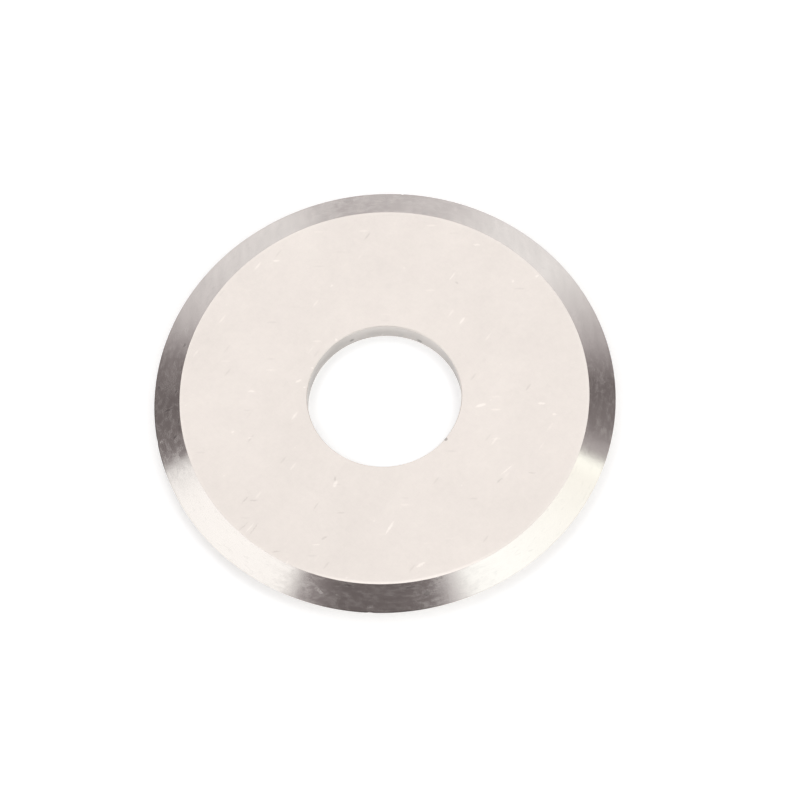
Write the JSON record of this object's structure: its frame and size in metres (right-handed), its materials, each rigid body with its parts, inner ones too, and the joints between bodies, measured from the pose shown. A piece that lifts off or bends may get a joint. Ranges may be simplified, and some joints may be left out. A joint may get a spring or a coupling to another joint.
{
  "type": "wire stripper blade",
  "caption": "Flat round steel blade with a plain central bore, its rim ground from both faces to a V edge for slitting cable insulation.",
  "frame": {"origin": "centre of the bore on the lower face", "axes": "+Z along the bore axis, from the lower face to the upper face; X and Y lie in the lower face"},
  "size_m": [0.06, 0.06, 0.003],
  "materials": {
    "ground_steel": "faces surface ground to an even satin, bevels ground bright round the rim"
  },
  "bodies": {
    "root": {"blade": "ground_steel"}
  },
  "joints": []
}
